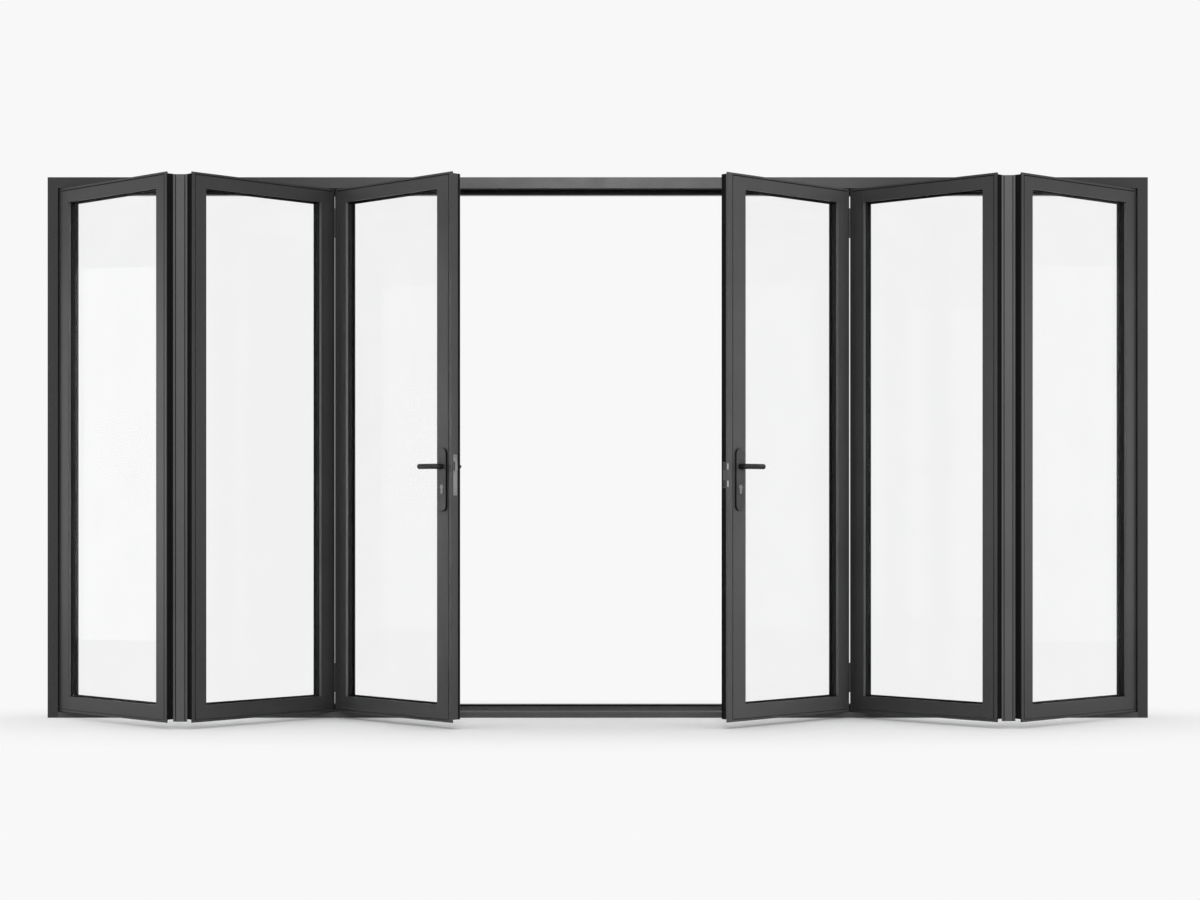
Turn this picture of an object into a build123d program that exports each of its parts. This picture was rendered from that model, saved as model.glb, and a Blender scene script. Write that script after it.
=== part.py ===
from build123d import *
from collections import namedtuple
from math import asin, atan2, cos, hypot, radians, sin
import os

# Six-leaf bifold glass patio door, three leaves a side, standing half folded towards the viewer.
# +X runs along the opening, -Y is the outside where the leaves fold, +Z is up.
# The origin is the middle of the sill's underside. All sizes are in millimetres.

# Outer frame
overall_width = 4274
overall_height = 2100
frame_depth = 90
jamb_face = 40
head_face = 43
stop_front = 54
stop_height = 19
sill_front_height = 22
sill_rear_height = 33
sill_upstand_top = 47.5

# Track in the head and guide slot in the sill
track_depth = 30
track_slot = 12
track_chamber = 32
track_ledge = 5
track_chamber_height = 28
guide_slot_floor = 10

# Leaves
leaf_thickness = 50
leaf_sill_gap = 3
leaf_head_gap = 3
jamb_leaf_width = 705
middle_leaf_width = 675
lead_leaf_width = 690
stile_face = 64
top_rail_face = 56
bottom_rail_face = 61.5
front_reveal = 15
glass_thickness = 24
pane_thickness = 4
glass_pocket = 14
glass_edge_gap = 3
bead_overhang = 2
bead_chamfer = 3
bead_joint = 0.2
overlap_lip_depth = 6
drip_lip_height = 11
head_lip_height = 6
border_lip = 7
border_side_lip = 12
border_groove = 4
border_groove_depth = 4

# Meeting edges of the two lead leaves. The right one is wider by the lip that covers the joint.
closing_stile_face_left = 84
closing_stile_face_right = 98
meeting_lip_left = 17
meeting_lip_right = 26
meeting_rebate_width_left = 11
meeting_rebate_depth_left = 10
meeting_rebate_width_right = 21
meeting_rebate_depth_right = 20

# How far each side is folded, in degrees from closed
jamb_leaf_angle_left = 43.9
jamb_leaf_angle_right = 41.2
lead_leaf_angle_left = 45.5
lead_leaf_angle_right = 43.7

# Pivots at the jambs
jamb_gap = 5
pivot_inset = 7
pivot_pin_radius = 4
pivot_bore_clearance = 0.1
pivot_leaf_depth = 34
pivot_frame_depth = 12

# Hinges between the leaves
leaf_gap = 14
rear_leaf_gap = 6
hinge_height = 115
hinge_end_distance = 131.5
barrel_radius = 6.5
hinge_pin_radius = 3
hinge_play = 0.3
knuckle_notch_clearance = 0.5
rear_plate_depth = 34
rear_plate_thickness = 2.4
fold_axis_offset = 10
fold_plate_width = 36
fold_plate_thickness = 4

# Carrier in the head and guide in the sill, on the far edge of each middle leaf
carrier_reach = 14
carrier_bracket_size = 26
carrier_bracket_height = 16
carrier_pin_depth = 20
carrier_pin_radius = 5
carrier_inset = 8
trolley_length = 90
trolley_height = 16
wheel_radius = 9
wheel_width = 5
wheel_gap = 1
wheel_axle_radius = 2.5
wheel_spacing = 60
wheel_play = 0.15
guide_pin_radius = 4
guide_roller_radius = 5.7
guide_roller_height = 8
guide_roller_lift = 1

# Cover strip in each fold between jamb leaf and middle leaf
guard_depth = 30
guard_thickness = 6
guard_bottom_inset = 2
guard_top_inset = 7
guard_groove_offset = 9
guard_groove_width = 3
guard_groove_depth = 2.5

# Handles and locks on the lead leaves
handle_height = 969
handle_backset_left = 48
handle_backset_right = 62
plate_width = 44
plate_height = 234
plate_thickness = 8
plate_above_lever = 68
plate_edge_round = 2
outer_lever_radius = 10
outer_lever_standoff = 44
outer_lever_length = 90
outer_lever_elbow = 14
inner_lever_radius = 8
inner_lever_standoff = 34
inner_lever_length = 84
inner_lever_elbow = 11
lever_end_round = 5
lever_face_gap = 0.5
neck_bore_clearance = 0.3
spindle_size = 8
spindle_bore_radius = 6
cylinder_below_lever = 76
cylinder_radius = 8.5
cylinder_body_height = 33
cylinder_body_width = 10
cylinder_proud = 1.5
keyway_width = 1.6
keyway_height = 9
keyway_depth = 6
faceplate_width = 18
faceplate_height = 150
faceplate_thickness = 2.5
faceplate_depth = 16.5
faceplate_drop = 32
latch_height = 34
latch_width = 11
latch_reach = 6
keep_height = 26
keep_spacing = 64
keep_width = 14
keep_slot_length = 15
keep_slot_width = 6

# Rubber seals on the frame's stops
seal_depth = 3
seal_height = 7
seal_joint = 1

# Levels and lines that follow from the sizes above
front_y = -frame_depth / 2
half_width = overall_width / 2
inner_half_width = half_width - jamb_face
head_underside = overall_height - head_face
track_y = front_y + track_depth
slot_front = track_depth - track_slot / 2
slot_back = track_depth + track_slot / 2
leaf_bottom = sill_front_height + leaf_sill_gap
leaf_top = head_underside - leaf_head_gap
leaf_height = leaf_top - leaf_bottom
leaf_middle = (leaf_top + leaf_bottom) / 2
glass_low = leaf_bottom + bottom_rail_face
glass_high = leaf_top - top_rail_face
glass_back = front_reveal + glass_thickness
body_bottom = leaf_bottom + drip_lip_height
low_hinge = leaf_bottom + hinge_end_distance
high_hinge = leaf_top - hinge_end_distance
lock_middle = handle_height - faceplate_drop

# What differs between the two leaves that meet in the middle
MeetingEdge = namedtuple("MeetingEdge", "stile_face lip rebate_width rebate_depth handle_backset")

os.makedirs("parts", exist_ok=True)


def turned(along, depth, angle):
    """The plan vector of a step along and into a leaf that stands at the angle."""
    return Vector(along * cos(angle) - depth * sin(angle), along * sin(angle) + depth * cos(angle), 0)


class Leaf:
    """A leaf's place in plan: the outer corner at its hinge end, its angle, width and stiles."""

    def __init__(self, name, corner, angle, width, last_stile=stile_face, last_lip=border_side_lip):
        self.name = name
        self.corner = corner
        self.width = width
        self.first_stile_edge = stile_face
        self.last_stile_edge = width - last_stile
        self.last_lip = last_lip
        self.along = turned(1, 0, angle)
        self.inward = turned(0, 1, angle)

    def point(self, along, depth, z=0):
        """A point given along the leaf, inwards from its outer face, and up."""
        return self.corner + self.along * along + self.inward * depth + Vector(0, 0, z)

    def plan(self, z, along=0, depth=0):
        """A level plane with its X along the leaf and its Y into the leaf's thickness."""
        return Plane(origin=self.point(along, depth, z), x_dir=self.along, z_dir=(0, 0, 1))

    def face(self, depth, along, z):
        """An upright plane with its X along the leaf, its Y up and its normal outwards."""
        return Plane(origin=self.point(along, depth, z), x_dir=self.along, z_dir=self.inward * -1)

    def section(self, along, depth=0, z=0):
        """An upright plane across the leaf, its X into the thickness and its Y up."""
        return Plane(origin=self.point(along, depth, z), x_dir=self.inward, z_dir=self.along)


class Group:
    """The three leaves of one side, placed as on the left. The right side's pieces are mirrored."""

    def __init__(self, side, jamb_angle, lead_angle, meeting_edge):
        self.side = side
        self.meeting_edge = meeting_edge
        pivot = Vector(-inner_half_width + jamb_gap + pivot_inset, front_y + pivot_inset, 0)
        turn = -radians(jamb_angle)
        corner = pivot - turned(pivot_inset, pivot_inset, turn)
        self.jamb_leaf = Leaf("jamb", corner, turn, jamb_leaf_width)
        self.fold_axis = self.jamb_leaf.point(
            jamb_leaf_width + leaf_gap / 2, leaf_thickness + fold_axis_offset)
        turn = self.middle_turn()
        corner = self.fold_axis + turned(leaf_gap / 2, -leaf_thickness - fold_axis_offset, turn)
        self.middle_leaf = Leaf("middle", corner, turn, middle_leaf_width)
        self.rear_axis = self.middle_leaf.point(middle_leaf_width + rear_leaf_gap / 2, 0)
        turn = -radians(lead_angle)
        corner = self.rear_axis + turned(rear_leaf_gap / 2, 0, turn)
        self.lead_leaf = Leaf("lead", corner, turn, lead_leaf_width, meeting_edge.stile_face,
                              meeting_edge.lip)
        self.handle_x = lead_leaf_width - meeting_edge.handle_backset
        self.carrier_pin = self.middle_leaf.point(middle_leaf_width + carrier_reach, carrier_pin_depth)

    def middle_turn(self):
        """The middle leaf's angle, which sets its carrier pin on the line of the track."""
        along = leaf_gap / 2 + middle_leaf_width + carrier_reach
        depth = carrier_pin_depth - leaf_thickness - fold_axis_offset
        return asin((track_y - self.fold_axis.Y) / hypot(along, depth)) - atan2(depth, along)

    def save(self, builder, piece):
        """Write a piece of this side as one node, mirrored where the side is the right one."""
        part = builder.part
        if self.side == "right":
            part = mirror(part, about=Plane.YZ)
        write_node(part, self.side + "_" + piece)


def write_node(part, name):
    part.label = name
    export_step(part, "parts/" + name + ".step")


def polygon(points):
    """A closed outline as a face of the sketch that is open, at the points as given."""
    Polygon(*points, align=None)


def upright_bar(centre, low, high, radius, mode=Mode.ADD):
    """An upright round bar between two heights, added to or cut from the part that is open."""
    with Locations((centre.X, centre.Y, low)):
        Cylinder(radius, high - low, align=(Align.CENTER, Align.CENTER, Align.MIN), mode=mode)


# Frame

def frame_section(x):
    """A plane across the head and sill, its X inwards from the frame's front and its Y up."""
    return Plane(origin=(x, front_y, 0), x_dir=(0, 1, 0), z_dir=(1, 0, 0))


def cut_pivot_bores(low, high):
    """Bores for the two jamb pivots."""
    x = inner_half_width - jamb_gap - pivot_inset
    for pivot_x in (-x, x):
        centre = Vector(pivot_x, front_y + pivot_inset)
        upright_bar(centre, low, high, pivot_pin_radius + pivot_bore_clearance, Mode.SUBTRACT)


def make_head():
    """The head: a front leg, the track's chamber with its slot below, and the rear stop."""
    chamber_front = track_depth - track_chamber / 2
    chamber_back = track_depth + track_chamber / 2
    ledge_top = head_underside + track_ledge
    chamber_top = ledge_top + track_chamber_height
    stop_bottom = head_underside - stop_height
    with BuildPart() as head:
        with BuildSketch(frame_section(-inner_half_width)):
            polygon([
                (0, head_underside), (0, overall_height), (frame_depth, overall_height),
                (frame_depth, stop_bottom), (stop_front, stop_bottom), (stop_front, head_underside),
                (slot_back, head_underside), (slot_back, ledge_top), (chamber_back, ledge_top),
                (chamber_back, chamber_top), (chamber_front, chamber_top), (chamber_front, ledge_top),
                (slot_front, ledge_top), (slot_front, head_underside),
            ])
        extrude(amount=2 * inner_half_width)
        cut_pivot_bores(head_underside, head_underside + pivot_frame_depth)
    write_node(head.part, "frame_head")


def make_sill():
    """The sill: a front that slopes down outwards, the guide slot, and the rear upstand."""
    slope = (sill_rear_height - sill_front_height) / stop_front
    with BuildPart() as sill:
        with BuildSketch(frame_section(-inner_half_width)):
            polygon([
                (0, 0), (0, sill_front_height),
                (slot_front, sill_front_height + slope * slot_front), (slot_front, guide_slot_floor),
                (slot_back, guide_slot_floor), (slot_back, sill_front_height + slope * slot_back),
                (stop_front, sill_rear_height), (stop_front, sill_upstand_top),
                (frame_depth, sill_upstand_top), (frame_depth, 0),
            ])
        extrude(amount=2 * inner_half_width)
        cut_pivot_bores(guide_slot_floor, sill_rear_height)
    write_node(sill.part, "frame_sill")


def make_jamb(group):
    """A jamb, run through from floor to top. Its stop ends on the sill and under the head."""
    stop_bottom = head_underside - stop_height
    with BuildPart() as jamb:
        with BuildSketch(Plane(origin=(-half_width, front_y, 0))):
            Rectangle(jamb_face, frame_depth, align=Align.MIN)
        extrude(amount=overall_height)
        with BuildSketch(Plane(origin=(-inner_half_width, front_y + stop_front, sill_upstand_top))):
            Rectangle(stop_height, frame_depth - stop_front, align=Align.MIN)
        extrude(amount=stop_bottom - sill_upstand_top)
    group.save(jamb, "frame_jamb")


def make_frame_seals():
    """Rubber strips on the front of the four stops."""
    inner_x = inner_half_width - stop_height
    middle_y = front_y + stop_front - seal_depth / 2
    stop_bottom = head_underside - stop_height
    with BuildPart() as seals:
        for low in (sill_upstand_top - seal_height, stop_bottom):
            with BuildSketch(Plane.XY.offset(low)):
                with Locations((0, middle_y)):
                    Rectangle(2 * inner_x, seal_depth)
            extrude(amount=seal_height)
        with BuildSketch(Plane.XY.offset(sill_upstand_top + seal_joint)):
            with Locations((-inner_x - seal_height / 2, middle_y), (inner_x + seal_height / 2, middle_y)):
                Rectangle(seal_height, seal_depth)
        extrude(amount=stop_bottom - sill_upstand_top - 2 * seal_joint)
    write_node(seals.part, "frame_seals")


# Leaves

def leaf_relief(leaf):
    """What is cut from every leaf: the shadow line round its outer face, a lip's width in from
    its edge, and the steps behind the thin lips that overlap the sill and the head."""
    groove_start = border_side_lip
    groove_end = leaf.width - leaf.last_lip
    groove_length = groove_end - groove_start
    groove_height = leaf_height - 2 * border_lip
    with BuildPart() as relief:
        with BuildSketch(leaf.face(0, (groove_start + groove_end) / 2, leaf_middle)):
            Rectangle(groove_length, groove_height)
            Rectangle(groove_length - 2 * border_groove, groove_height - 2 * border_groove,
                      mode=Mode.SUBTRACT)
        extrude(amount=-border_groove_depth)
        for low, height in ((leaf_bottom, drip_lip_height), (leaf_top - head_lip_height, head_lip_height)):
            with BuildSketch(leaf.plan(low, leaf.width / 2, overlap_lip_depth)):
                Rectangle(leaf.width, leaf_thickness, align=(Align.CENTER, Align.MIN))
            extrude(amount=height)
    return relief.part


def cut_leaf_pivot_bores(leaf):
    """Bores for the pivot pins in both ends of the jamb leaf's hinge stile."""
    centre = leaf.point(pivot_inset, pivot_inset)
    for low in (leaf_bottom, leaf_top - pivot_leaf_depth):
        upright_bar(centre, low, low + pivot_leaf_depth, pivot_pin_radius + pivot_bore_clearance,
                    Mode.SUBTRACT)


def cut_hinge_notches(axis):
    """Round notches in a leaf's outer corner, which give the rear hinges' knuckles room."""
    for middle in (low_hinge, high_hinge):
        half_height = hinge_height / 2 + knuckle_notch_clearance
        upright_bar(axis, middle - half_height, middle + half_height,
                    barrel_radius + knuckle_notch_clearance, Mode.SUBTRACT)


def cylinder_outline():
    """The lock cylinder's outline: a round plug above a narrower body."""
    Circle(cylinder_radius)
    with Locations((0, cylinder_radius - cylinder_body_height / 2)):
        Rectangle(cylinder_body_width, cylinder_body_height)


def lock_face_outline(side):
    """What shows of the lock on the leaf's edge: a long faceplate, or a pair of keeps."""
    if side == "left":
        Rectangle(faceplate_width, faceplate_height)
    else:
        with Locations((0, keep_spacing / 2), (0, -keep_spacing / 2)):
            Rectangle(keep_width, keep_height)


def lock_relief(group):
    """What is cut from a closing stile: the rebate where the two lead leaves meet, the bores for
    spindle and cylinder, and the lock's seat."""
    leaf = group.lead_leaf
    edge = group.meeting_edge
    with BuildPart() as relief:
        with BuildSketch(leaf.plan(leaf_bottom, leaf.width, leaf_thickness)):
            Rectangle(edge.rebate_width, edge.rebate_depth, align=Align.MAX)
        extrude(amount=leaf_height)
        with BuildSketch(leaf.face(0, group.handle_x, handle_height)):
            Circle(spindle_bore_radius)
            with Locations((0, -cylinder_below_lever)):
                cylinder_outline()
        extrude(amount=-leaf_thickness)
        with BuildSketch(leaf.section(leaf.width, faceplate_depth, lock_middle)):
            lock_face_outline(group.side)
        extrude(amount=-faceplate_thickness)
    return relief.part


def make_stiles(group, leaf):
    """The two uprights. Each is an L in plan, with its front leg before the glass."""
    first = leaf.first_stile_edge
    last = leaf.last_stile_edge
    reliefs = [leaf_relief(leaf)]
    if leaf is group.lead_leaf:
        reliefs.append(lock_relief(group))
    with BuildPart() as stiles:
        with BuildSketch(leaf.plan(leaf_bottom)):
            polygon([
                (0, 0), (first, 0), (first, front_reveal), (first - glass_pocket, front_reveal),
                (first - glass_pocket, leaf_thickness), (0, leaf_thickness),
            ])
            polygon([
                (leaf.width, 0), (last, 0), (last, front_reveal), (last + glass_pocket, front_reveal),
                (last + glass_pocket, leaf_thickness), (leaf.width, leaf_thickness),
            ])
        extrude(amount=leaf_height)
        add(reliefs, mode=Mode.SUBTRACT)
        if leaf is group.jamb_leaf:
            cut_leaf_pivot_bores(leaf)
        else:
            cut_hinge_notches(group.rear_axis)
    group.save(stiles, leaf.name + "_leaf_stiles")


def make_rails(group, leaf):
    """The two rails: front legs between the stiles' legs, bodies on to the stiles' bodies."""
    first = leaf.first_stile_edge
    last = leaf.last_stile_edge
    spans = [
        (leaf_bottom, glass_low, glass_low - glass_pocket),
        (leaf_top, glass_high, glass_high + glass_pocket),
    ]
    relief = leaf_relief(leaf)
    with BuildPart() as rails:
        for edge, leg_end, body_end in spans:
            with BuildSketch(leaf.section(first)):
                polygon([(0, edge), (0, leg_end), (front_reveal, leg_end), (front_reveal, edge)])
            extrude(amount=last - first)
            with BuildSketch(leaf.section(first - glass_pocket)):
                polygon([(front_reveal, edge), (front_reveal, body_end),
                         (leaf_thickness, body_end), (leaf_thickness, edge)])
            extrude(amount=last - first + 2 * glass_pocket)
        add(relief, mode=Mode.SUBTRACT)
    group.save(rails, leaf.name + "_leaf_rails")


def make_glass(group, leaf):
    """The double glazing's two panes: one against the front legs, one against the beads."""
    inset = glass_pocket - glass_edge_gap
    middle = (leaf.first_stile_edge + leaf.last_stile_edge) / 2
    with BuildPart() as glass:
        for pane_back in (front_reveal + pane_thickness, glass_back):
            with BuildSketch(leaf.face(pane_back, middle, (glass_low + glass_high) / 2)):
                Rectangle(leaf.last_stile_edge - leaf.first_stile_edge + 2 * inset,
                          glass_high - glass_low + 2 * inset)
            extrude(amount=pane_thickness)
    group.save(glass, leaf.name + "_leaf_glass")


def bead_section(pocket_wall, way):
    """A glazing bead's section, from its pocket wall towards the glass, chamfered where it shows."""
    tip = pocket_wall + way * (glass_pocket + bead_overhang)
    return [
        (pocket_wall, glass_back), (tip, glass_back), (tip, leaf_thickness - bead_chamfer),
        (tip - way * bead_chamfer, leaf_thickness), (pocket_wall, leaf_thickness),
    ]


def make_beads(group, leaf):
    """Four glazing beads behind the glass. The upright ones run through."""
    first = leaf.first_stile_edge
    last = leaf.last_stile_edge
    pocket_low = glass_low - glass_pocket
    pocket_high = glass_high + glass_pocket
    short_start = first + bead_overhang + bead_joint
    with BuildPart() as beads:
        with BuildSketch(leaf.plan(pocket_low)):
            polygon(bead_section(first - glass_pocket, 1))
            polygon(bead_section(last + glass_pocket, -1))
        extrude(amount=pocket_high - pocket_low)
        with BuildSketch(leaf.section(short_start)):
            polygon([(depth, z) for z, depth in bead_section(pocket_low, 1)])
            polygon([(depth, z) for z, depth in bead_section(pocket_high, -1)])
        extrude(amount=last - bead_overhang - bead_joint - short_start)
    group.save(beads, leaf.name + "_leaf_beads")


# Pivots, hinges, carriers, guides and fold strips

def make_jamb_pivots(group):
    """The pins on which the jamb leaf turns, one in the sill and one in the head."""
    pivot = group.jamb_leaf.point(pivot_inset, pivot_inset)
    with BuildPart() as pivots:
        upright_bar(pivot, guide_slot_floor, leaf_bottom + pivot_leaf_depth, pivot_pin_radius)
        upright_bar(pivot, leaf_top - pivot_leaf_depth, head_underside + pivot_frame_depth, pivot_pin_radius)
    group.save(pivots, "jamb_pivots")


def make_hinges(group, name, axis, leaves, flat, arm, heights):
    """Pinned hinges: two knuckles and the pin on the first leaf, one bored knuckle on the next."""
    before, after = leaves
    third = hinge_height / 3
    with BuildPart() as hinges:
        for middle in heights:
            low = middle - hinge_height / 2
            for leaf, end, way in ((before, before.width, 1), (after, 0, -1)):
                with BuildSketch(leaf.plan(low, end)):
                    polygon([(way * x, depth) for x, depth in flat])
                extrude(amount=hinge_height)
            with BuildSketch(after.plan(low + third + hinge_play)):
                polygon([(-x, depth) for x, depth in arm])
            extrude(amount=third - 2 * hinge_play)
            knuckle_low = low + third + hinge_play
            knuckle_high = low + 2 * third - hinge_play
            upright_bar(axis, knuckle_low, knuckle_high, barrel_radius)
            upright_bar(axis, knuckle_low, knuckle_high, hinge_pin_radius + hinge_play, Mode.SUBTRACT)
            for start in (low, low + 2 * third):
                with BuildSketch(before.plan(start, before.width)):
                    polygon(arm)
                extrude(amount=third)
                upright_bar(axis, start, start + third, barrel_radius)
            upright_bar(axis, low, low + hinge_height, hinge_pin_radius)
    group.save(hinges, name)


def make_rear_hinges(group):
    """Hinges of middle and lead leaf, on the leaves' edges, with the barrels at the outer faces."""
    clear_depth = barrel_radius + hinge_play
    flat = [(0, clear_depth), (rear_plate_thickness, clear_depth),
            (rear_plate_thickness, rear_plate_depth), (0, rear_plate_depth)]
    arm = [(0, 0), (rear_plate_thickness, 0),
           (rear_plate_thickness, clear_depth), (0, clear_depth)]
    make_hinges(group, "rear_hinges", group.rear_axis, (group.middle_leaf, group.lead_leaf),
                flat, arm, (low_hinge, high_hinge))


def make_fold_hinges(group):
    """Hinges of jamb and middle leaf, fixed on the leaves' inner faces."""
    plate_back = leaf_thickness + fold_plate_thickness
    axis_depth = leaf_thickness + fold_axis_offset
    flat_end = leaf_gap / 2 - barrel_radius - fold_plate_width / 4
    arm_tip = leaf_gap / 2 - hinge_pin_radius - 2 * hinge_play
    flat = [(-fold_plate_width, leaf_thickness), (flat_end, leaf_thickness),
            (flat_end, plate_back), (-fold_plate_width, plate_back)]
    arm = [(flat_end, leaf_thickness), (0, leaf_thickness), (arm_tip, axis_depth - hinge_pin_radius),
           (leaf_gap / 2 - barrel_radius + fold_plate_thickness / 2, axis_depth + hinge_pin_radius),
           (flat_end, plate_back)]
    make_hinges(group, "fold_hinges", group.fold_axis, (group.jamb_leaf, group.middle_leaf),
                flat, arm, (low_hinge, leaf_middle, high_hinge))


def edge_bracket(leaf, low):
    """The block on the middle leaf's far edge that carries a track pin."""
    with BuildPart() as bracket:
        with BuildSketch(leaf.plan(low, leaf.width, carrier_pin_depth)):
            Rectangle(carrier_bracket_size, carrier_bracket_size, align=(Align.MIN, Align.CENTER))
        extrude(amount=carrier_bracket_height)
    return bracket.part


def make_top_carrier(group):
    """The bracket, the pin through the track's slot, and the four-wheeled trolley above it."""
    pin = group.carrier_pin
    bracket_top = leaf_top - carrier_inset
    axle_z = head_underside + track_ledge + wheel_radius + wheel_play
    trolley_low = axle_z - trolley_height / 2
    wheel_middle = track_slot / 2 + wheel_gap + wheel_width / 2
    bracket = edge_bracket(group.middle_leaf, bracket_top - carrier_bracket_height)
    with BuildPart() as carrier:
        add(bracket)
        upright_bar(pin, bracket_top, trolley_low, carrier_pin_radius)
        with BuildSketch(Plane(origin=(pin.X, pin.Y, trolley_low))):
            Rectangle(trolley_length, track_slot)
        extrude(amount=trolley_height)
        with BuildSketch(Plane(origin=(pin.X, pin.Y, axle_z), x_dir=(1, 0, 0), z_dir=(0, -1, 0))):
            with GridLocations(wheel_spacing, 0, 2, 1):
                Circle(wheel_axle_radius)
        extrude(amount=wheel_middle + wheel_width / 2, both=True)
        for offset in (-wheel_middle, wheel_middle):
            wheel_plane = Plane(origin=(pin.X, pin.Y + offset, axle_z), x_dir=(1, 0, 0), z_dir=(0, -1, 0))
            with BuildSketch(wheel_plane):
                with GridLocations(wheel_spacing, 0, 2, 1):
                    Circle(wheel_radius)
                    Circle(wheel_axle_radius + wheel_play, mode=Mode.SUBTRACT)
            extrude(amount=wheel_width / 2, both=True)
    group.save(carrier, "top_carrier")


def make_bottom_guide(group):
    """The bracket at the foot of the middle leaf, with its pin and roller in the sill's slot."""
    pin = group.carrier_pin
    roller_low = guide_slot_floor + guide_roller_lift
    bracket = edge_bracket(group.middle_leaf, body_bottom)
    with BuildPart() as guide:
        add(bracket)
        upright_bar(pin, roller_low, body_bottom, guide_pin_radius)
        upright_bar(pin, roller_low, roller_low + guide_roller_height, guide_roller_radius)
    group.save(guide, "bottom_guide")


def make_finger_guard(group):
    """The grooved strip that closes the fold of jamb and middle leaf, seated on both edges."""
    near = group.jamb_leaf
    far = group.middle_leaf
    first = near.point(near.width, guard_depth)
    last = far.point(0, guard_depth)
    corners = [first, last, far.point(0, guard_depth + guard_thickness),
               near.point(near.width, guard_depth + guard_thickness)]
    across = (last - first).normalized()
    grooves = (first + across * guard_groove_offset, last - across * guard_groove_offset)
    low = leaf_bottom + guard_bottom_inset
    height = leaf_height - guard_bottom_inset - guard_top_inset
    with BuildPart() as guard:
        with BuildSketch(Plane.XY.offset(low)):
            polygon([(corner.X, corner.Y) for corner in corners])
        extrude(amount=height)
        for groove in grooves:
            with BuildSketch(Plane(origin=(groove.X, groove.Y, low), x_dir=across, z_dir=(0, 0, 1))):
                Rectangle(guard_groove_width, 2 * guard_groove_depth)
            extrude(amount=height, mode=Mode.SUBTRACT)
    group.save(guard, "finger_guard")


# Handles and locks

def make_handle_plates(group):
    """The long backplates on both faces, bored for the levers' necks and the cylinder."""
    leaf = group.lead_leaf
    plate_middle = handle_height + plate_above_lever - plate_height / 2
    plate_seats = ((0, outer_lever_radius), (leaf_thickness + plate_thickness, inner_lever_radius))
    with BuildPart() as plates:
        for depth, _ in plate_seats:
            with BuildSketch(leaf.face(depth, group.handle_x, plate_middle)):
                SlotOverall(plate_height, plate_width, rotation=90)
            extrude(amount=plate_thickness)
        faces_across = plates.faces().sort_by(Axis(leaf.point(0, 0), leaf.inward))
        for rim_face in (faces_across[0], faces_across[-1]):
            fillet(rim_face.edges(), plate_edge_round)
        for depth, radius in plate_seats:
            with BuildSketch(leaf.face(depth, group.handle_x, handle_height)):
                Circle(radius + neck_bore_clearance)
                with Locations((0, -cylinder_below_lever)):
                    cylinder_outline()
            extrude(amount=plate_thickness, mode=Mode.SUBTRACT)
    group.save(plates, "handle_plates")


def make_lever(group):
    """The outer and inner lever on their common spindle, which turns in the plates' bores."""
    leaf = group.lead_leaf
    outer = (0, -1, outer_lever_radius, outer_lever_standoff, outer_lever_length, outer_lever_elbow)
    inner = (leaf_thickness, 1, inner_lever_radius, inner_lever_standoff, inner_lever_length,
             inner_lever_elbow)
    with BuildPart() as lever:
        for surface, way, radius, standoff, length, elbow in (outer, inner):
            neck = surface + way * lever_face_gap
            grip = surface + way * standoff
            with BuildLine(leaf.plan(handle_height, group.handle_x)):
                FilletPolyline((0, neck), (0, grip), (-length, grip), radius=elbow)
            with BuildSketch(leaf.face(neck, group.handle_x, handle_height)):
                Circle(radius)
            sweep()
            tip = leaf.point(group.handle_x - length, grip, handle_height)
            fillet(lever.edges().filter_by(GeomType.CIRCLE).sort_by_distance(tip)[0], lever_end_round)
        with BuildSketch(leaf.face(leaf_thickness + lever_face_gap, group.handle_x, handle_height)):
            Rectangle(spindle_size, spindle_size)
        extrude(amount=leaf_thickness + 2 * lever_face_gap)
    group.save(lever, "lever")


def make_lock_cylinder(group):
    """The cylinder that both plates show, with a keyway in each end."""
    leaf = group.lead_leaf
    cylinder_z = handle_height - cylinder_below_lever
    inner_end = leaf_thickness + plate_thickness + cylinder_proud
    outer_end = -plate_thickness - cylinder_proud
    with BuildPart() as cylinder:
        with BuildSketch(leaf.face(inner_end, group.handle_x, cylinder_z)):
            cylinder_outline()
        extrude(amount=inner_end - outer_end)
        for depth, way in ((outer_end, -1), (inner_end, 1)):
            with BuildSketch(leaf.face(depth, group.handle_x, cylinder_z)):
                Rectangle(keyway_width, keyway_height)
            extrude(amount=way * keyway_depth, mode=Mode.SUBTRACT)
    group.save(cylinder, "lock_cylinder")


def make_lock_face(group):
    """The faceplate with its latch in the left leaf's edge, or the slotted keeps in the right's."""
    leaf = group.lead_leaf
    with BuildPart() as lock_face:
        with BuildSketch(leaf.section(leaf.width - faceplate_thickness, faceplate_depth, lock_middle)):
            lock_face_outline(group.side)
            if group.side == "right":
                with Locations((0, keep_spacing / 2), (0, -keep_spacing / 2)):
                    SlotOverall(keep_slot_length, keep_slot_width, rotation=90, mode=Mode.SUBTRACT)
        extrude(amount=faceplate_thickness)
        if group.side == "left":
            with BuildSketch(leaf.section(leaf.width, faceplate_depth, handle_height)):
                Rectangle(latch_width, latch_height)
            extrude(amount=latch_reach)
    group.save(lock_face, "lock_faceplate" if group.side == "left" else "lock_keeps")


left_edge = MeetingEdge(closing_stile_face_left, meeting_lip_left, meeting_rebate_width_left,
                        meeting_rebate_depth_left, handle_backset_left)
right_edge = MeetingEdge(closing_stile_face_right, meeting_lip_right, meeting_rebate_width_right,
                         meeting_rebate_depth_right, handle_backset_right)
groups = [
    Group("left", jamb_leaf_angle_left, lead_leaf_angle_left, left_edge),
    Group("right", jamb_leaf_angle_right, lead_leaf_angle_right, right_edge),
]

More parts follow.
